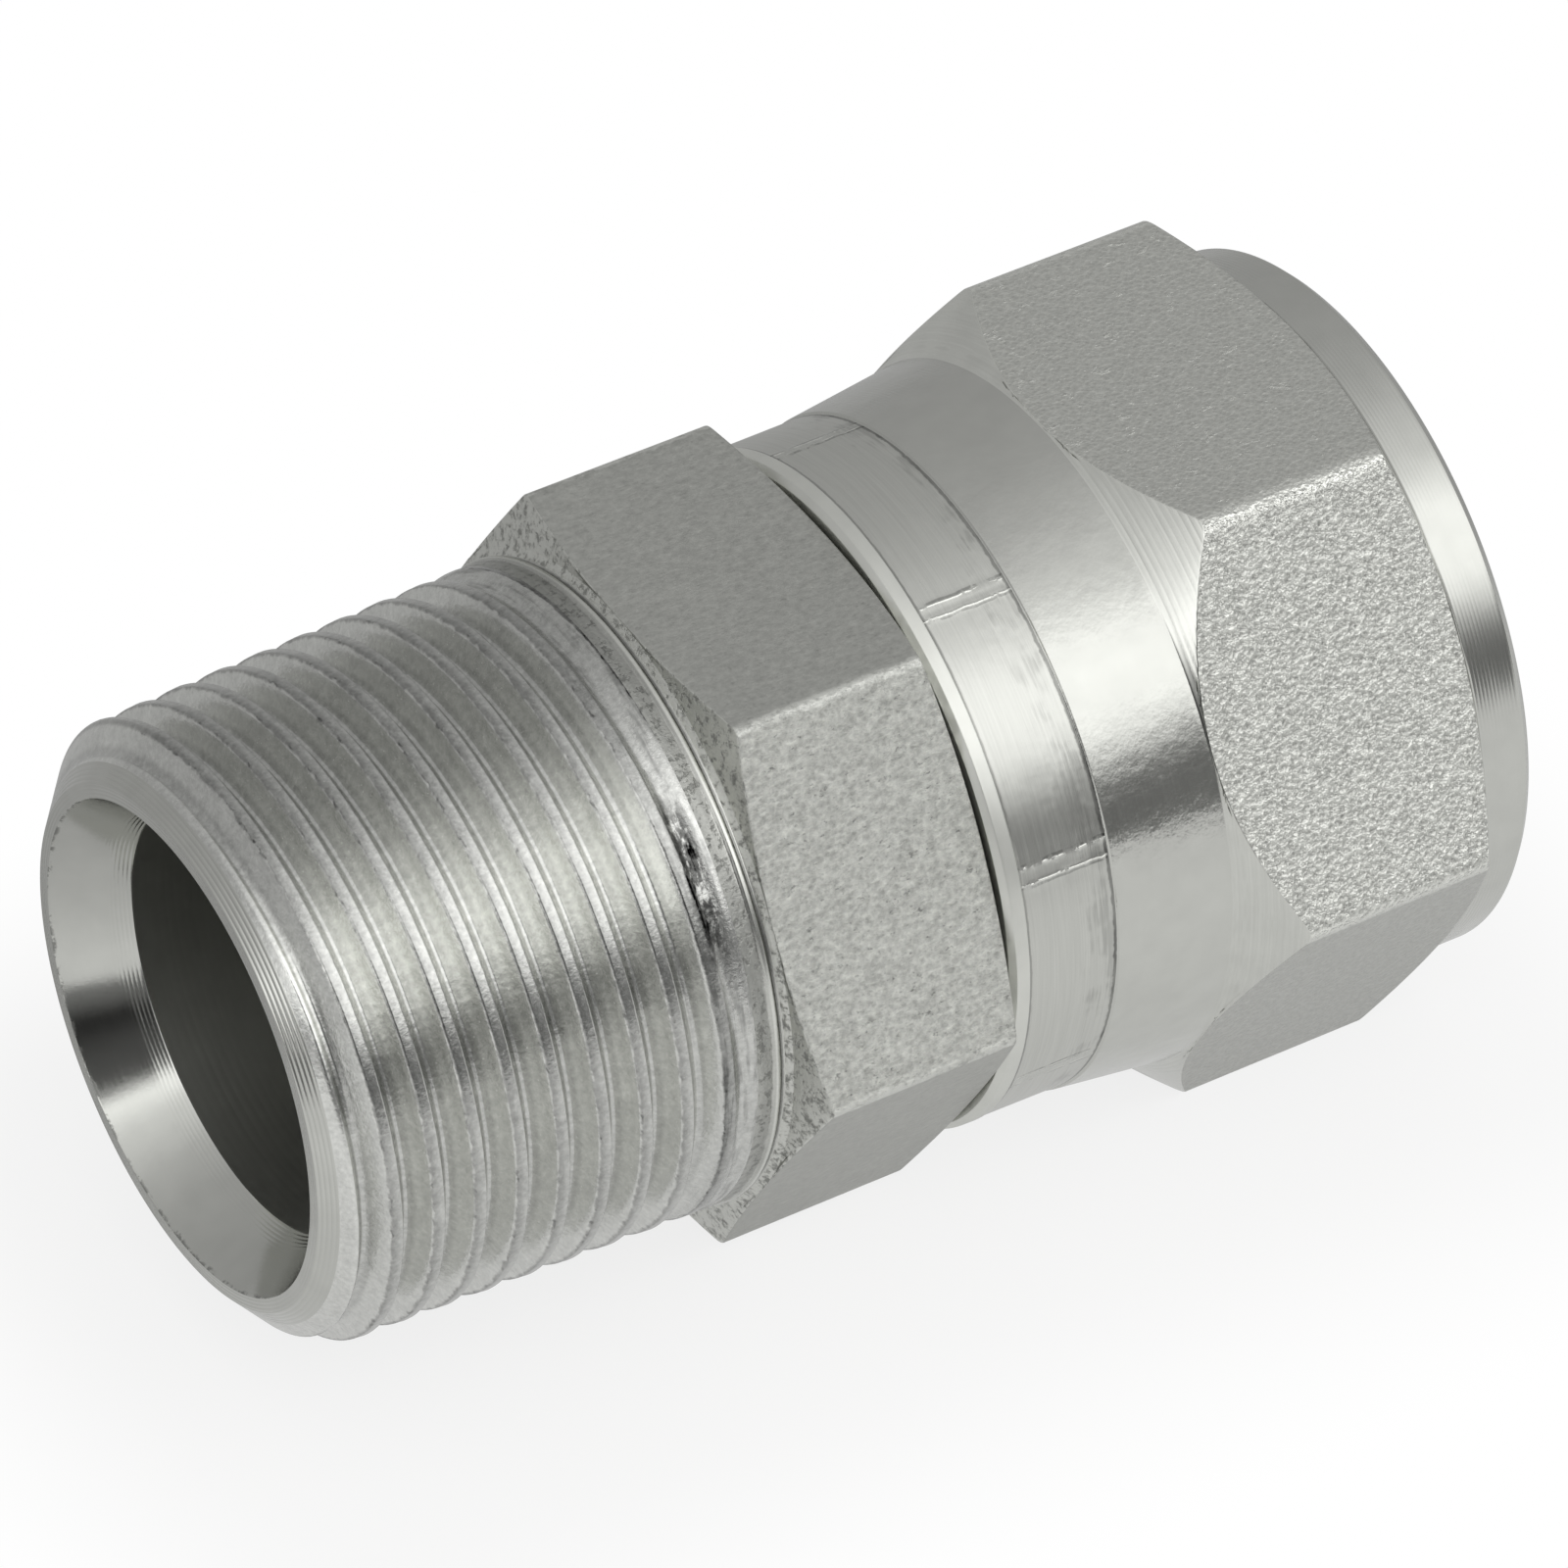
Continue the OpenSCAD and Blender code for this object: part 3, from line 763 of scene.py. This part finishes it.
def blasted_finish():
    """Forged and blasted sides: coarse grain and pits, calmer on top, painted shade on the lower
    and front sides, and a painted highlight on the corners.
    """
    finish = Finish("blasted_flat", 0.55, 0.4)
    coarse = finish.noise(2.4, 3.0, 0.7)
    fine = finish.noise(8.0, 2.0, 0.5, offset=2.0)
    pits = finish.cells(3.4)
    front, shaded_lower_side = (finish.side(nut_corner_angle + way) for way in (30, 90))
    deep = front * 0.7 + 0.3
    flecks = finish.noise(1.7, 4.0, 0.75, (0.6, 1, 1), 7.0).ramp(0.6, 0.66)
    finish.relief((coarse * 0.11 + pits * 0.12) * deep + fine * 0.01 + flecks * 0.02)
    # Painted highlight: a light line along the corners, which are also smoother.
    corner = (finish.from_corner(nut_corner_angle) - 0.008).math("ABSOLUTE")
    corner = (corner + (coarse - 0.5) * 0.02).ramp(0.01, 0.022, 1.0, 0.0)
    finish.rough(fine * 0.1 + 0.33 - corner * 0.1)
    spread = (coarse - 0.5) * 0.8 + (pits - 0.4) * 0.75 + flecks * 0.25
    # Painted shade: the lower and front sides are darkened.
    faces = (spread * deep + 0.97) * (1 - shaded_lower_side * 0.18 - front * 0.09)
    finish.shade(faces + corner * 0.3)
    return finish.material


nut_finishes = {
    "band": band_finish(),
    "lip": turned_finish("pressed_lip", 0.7, 0.42, 0.3, 0.0, 0.004),
    "flare": turned_finish("turned_flare", 0.55, 0.19, 0.22, 0.003, 0.008, waviness=0.03),
    "front": front_finish(),
    "blasted": blasted_finish(),
    "collar": turned_finish("turned_collar", 0.54, 0.2, 0.22, 0.014),
    "inside": turned_finish("turned_inside", 0.5, 0.3, 0.25, 0.002),
}

ridge_share = 0.2
nut_by_corners = gathered(6, nut_corner_angle, 0.3)
by_ridges = gathered(jaws, first_ridge, ridge_share)
nut_flats = nut_high.z - nut_low.z
nut_corner = 1.2 * MM
nut_bar = bar_radius(nut_by_corners, nut_flats, nut_corner, nut_corner_angle)
band_start_radius, band_end_radius = 18.04 * MM, 18.08 * MM
flare_radius = 18.92 * MM
nut_hex_end, collar_radius = 64.55, 18.8 * MM
nut_end = (nut_high.x - male_end) / MM
minor_radius = mounts["female_thread"]["dims"]["r_mm"] * MM
female_from, female_to = 54.5915, 67.4
cut_radius, relief_radius = 16.75 * MM, 16.85 * MM
lip_start, lip_hole, turning_room = 37.13, 14.0 * MM, 15.05 * MM
front_run = (nut_bar - flare_radius) / MM
rear_run = (nut_bar - collar_radius) / MM * math.tan(math.radians(28))

nut_outside = [
    (female_to, cut_radius, 0, "inside", even),
    (nut_end, 17.0 * MM, 0.08 * MM, "collar", even),
    (nut_end, collar_radius - 0.5 * MM, 0.15 * MM, "collar", even),
    (nut_end - 0.5, collar_radius, 0.2 * MM, "collar", even),
    (nut_hex_end, collar_radius, 0.3 * MM, "collar", even),
    (nut_hex_end - rear_run, nut_bar, 0.22 * MM, "blasted", nut_by_corners),
    (flare_end + front_run, nut_bar, 0.18 * MM, "front", nut_by_corners),
    (flare_end, flare_radius, 0.45 * MM, "flare", even),
    (band_end + 0.08, 18.2 * MM, 0.04 * MM, "flare", by_ridges),
    (band_end, band_end_radius, 0, "flare", by_ridges),
]
nut_inside = [
    (band_start, band_start_radius, 0, "lip", by_ridges),
    (band_start - 0.05, 18.1 * MM, 0.03 * MM, "lip", by_ridges),
    (37.45, 18.08 * MM, 0.12 * MM, "lip", even),
    (lip_start, 17.75 * MM, 0.1 * MM, "lip", even),
    (lip_start, lip_hole, 0.15 * MM, "inside", even),
    (43.126, lip_hole, 0.1 * MM, "inside", even),
    (44.176, turning_room, 0.1 * MM, "inside", even),
    (52.496, turning_room, 0.1 * MM, "inside", even),
    (54.296, relief_radius, 0.2 * MM, "inside", even),
    (54.4915, relief_radius, 0.03 * MM, "inside", even),
    (female_from, cut_radius, 0, "inside", even),
]

nut_mesh = bmesh.new()
finish_names = list(nut_finishes)
add_turned(nut_mesh, nut_outside, finish_names)
add_turned(nut_mesh, nut_inside, finish_names)
press_marks = grown("press_marks", pressed_band_tree(), {
    "Jaws": float(jaws), "First Ridge": first_ridge / 360, "Share": ridge_share,
    "Start": station(band_start), "End": station(band_end),
    "Start Radius": band_start_radius, "End Radius": band_end_radius,
    "Height": 0.09 * MM, "Width": ridge_width, "Columns": columns, "Rows": 24,
    "Seed": jaw_seed, "Material": nut_finishes["band"],
})
add_grown(nut_mesh, press_marks, finish_names.index("band"))
female_thread = grown("female_thread", pipe_thread, {
    "Pitch": pitch, "First Crest": first_crest,
    "Start": station(female_from), "End": station(female_to),
    "Start Radius": minor_radius, "Taper": 0.0,
    "Depth": form_height, "Crest Flat": crest_flat,
    "Crest Round": 0.06 * MM, "Hollow": 1.5, "Run Out": 0.01 * MM,
    "Start Cut": cut_radius, "Start Slope": -1.0, "End Cut": cut_radius, "End Slope": -1.0,
    "Side": -1.0, "Burr": 0.0, "Wander": 0.0,
    "Seed": 7.0, "Columns": columns, "Rows per Pitch": 14, "Material": nut_finishes["inside"],
})
add_grown(nut_mesh, female_thread, finish_names.index("inside"))
one_piece("swivel_nut_steel", nut_mesh, nut_finishes.values(), "nut", "swivel_nut")


# Floor
# A white table under the fitting. It shows white to the camera and, with a painted shade from
# front to back, in reflections, and keeps part of its own shading near the fitting, so that
# the shadow stays on it.
floor_reach, shadow_reach = 0.5, 0.02
fitting_half_length, fitting_half_width = 0.034, 0.019
front_level, back_level = 0.9, 0.44
floor_mesh = bmesh.new()
bmesh.ops.create_grid(floor_mesh, x_segments=1, y_segments=1, size=floor_reach)
floor_data = bpy.data.meshes.new("floor")
floor_mesh.to_mesh(floor_data)
floor_mesh.free()
floor = bpy.data.objects.new("floor", floor_data)
bpy.context.scene.collection.objects.link(floor)


def floor_finish():
    """White, less so beside the fitting; reflections see a painted shade that darkens it towards
    the back.
    """
    material = bpy.data.materials.new("white_floor")
    material.use_nodes = True
    tree = material.node_tree
    tree.nodes.clear()
    start = Wire(tree)
    place = start.add("ShaderNodeTexCoord", out=3)
    x, y = (start.add("ShaderNodeSeparateXYZ", None, {0: place}, axis) for axis in (0, 1))
    beside = (x.math("ABSOLUTE") - fitting_half_length).math("MAXIMUM", 0.0)
    before = (y.math("ABSOLUTE") - fitting_half_width).math("MAXIMUM", 0.0)
    clear = (beside * beside + before * before).math("SQRT").ramp(0.0, shadow_reach, 0.8, 1.0)
    # Painted shade in reflections: the floor darkens from front to back there.
    shaded = y.ramp(-0.045, 0.035, front_level, back_level)
    rays = ("Is Camera Ray", "Is Glossy Ray", "Is Transmission Ray")
    camera, glossy, through = (start.add("ShaderNodeLightPath", out=ray) for ray in rays)
    share = (camera + through) * clear + glossy * 0.95
    strength = 1 - glossy * (1 - shaded)
    plain = start.add("ShaderNodeBsdfDiffuse", None, {"Color": (0.85, 0.85, 0.84, 1)})
    white = start.add("ShaderNodeEmission", None, {"Color": (1, 1, 1, 1), "Strength": strength})
    mixed = start.add("ShaderNodeMixShader", None, {0: share, 1: plain, 2: white})
    tree.links.new(mixed.socket, tree.nodes.new("ShaderNodeOutputMaterial").inputs[0])
    return material


floor_data.materials.append(floor_finish())


# Light
# A studio round the fitting, as its polished faces show it: a softbox above the camera's
# side, a dark gap at the horizon below it, and grey walls above and behind. The camera
# itself sees plain white there. Levels go by the angle round the fitting's axis.
studio_levels = [
    (-180, 0.42), (-140, 0.45), (-90, 0.65), (-40, 0.90), (-20, 0.85), (-10, 0.4),
    (-4, 0.2), (10, 0.18), (17, 0.25), (22, 0.65), (28, 1.3), (36, 1.7), (60, 1.7),
    (68, 1.25), (75, 1.0), (88, 0.85), (100, 0.66), (122, 0.52), (150, 0.47), (180, 0.43),
]
top_level = 2.0

# Dark gaps beside the softbox: direction, inner and outer angle, and how dark
dark_gaps = [((-0.64, -0.64, 0.42), 13, 22, 0.95), ((-0.975, -0.19, 0.08), 5, 12, 0.6)]


def studio():
    """The world: levels round the fitting's axis, less the gaps, and white for the camera."""
    world = bpy.data.worlds.new("studio")
    bpy.context.scene.world = world
    world.use_nodes = True
    tree = world.node_tree
    tree.nodes.clear()
    start = Wire(tree)
    direction = start.add("ShaderNodeTexCoord", out=0)
    x, y, z = (start.add("ShaderNodeSeparateXYZ", None, {0: direction}, axis) for axis in range(3))
    angle = z.math("ARCTAN2", y * -1)
    share = angle / (2 * math.pi) + 0.5
    stops = [
        ((degrees + 180) / 360, (*[level / top_level] * 3, 1))
        for degrees, level in studio_levels
    ]
    colour = start.add("ShaderNodeValToRGB", {"stops": stops}, {0: share})
    level = colour * top_level
    for toward, inner, outer, dark in dark_gaps:
        facing = x * toward[0] + y * toward[1] + z * toward[2]
        inside = facing.ramp(math.cos(math.radians(outer)), math.cos(math.radians(inner)))
        level = level * (1 - inside * dark)
    camera = start.add("ShaderNodeLightPath", out="Is Camera Ray")
    strength = camera + (1 - camera) * level
    lit = start.add("ShaderNodeBackground", None, {"Color": (1, 1, 1, 1), "Strength": strength})
    tree.links.new(lit.socket, tree.nodes.new("ShaderNodeOutputWorld").inputs[0])


studio()


# Camera
# A long lens that looks down on the fitting from the male end and to one side.
camera_azimuth, camera_elevation, camera_roll = -31.735, 40.849, 0.474
camera_distance = 0.65554
camera_target = Vector((0.00213, 0.00162, axis_height))
camera_lens = 299.15

camera_data = bpy.data.cameras.new("camera")
camera_data.lens = camera_lens
camera_data.sensor_width = 36.0
camera_data.clip_start, camera_data.clip_end = 0.01, 10.0
camera = bpy.data.objects.new("camera", camera_data)
bpy.context.scene.collection.objects.link(camera)
turn = Matrix.Rotation(math.radians(camera_azimuth), 4, "Z")
tilt = Matrix.Rotation(math.radians(90 - camera_elevation), 4, "X")
roll = Matrix.Rotation(math.radians(camera_roll), 4, "Z")
back = Matrix.Translation((0, 0, camera_distance))
camera.matrix_world = Matrix.Translation(camera_target) @ turn @ tilt @ roll @ back
bpy.context.scene.camera = camera

bpy.context.scene.view_settings.view_transform = "Standard"
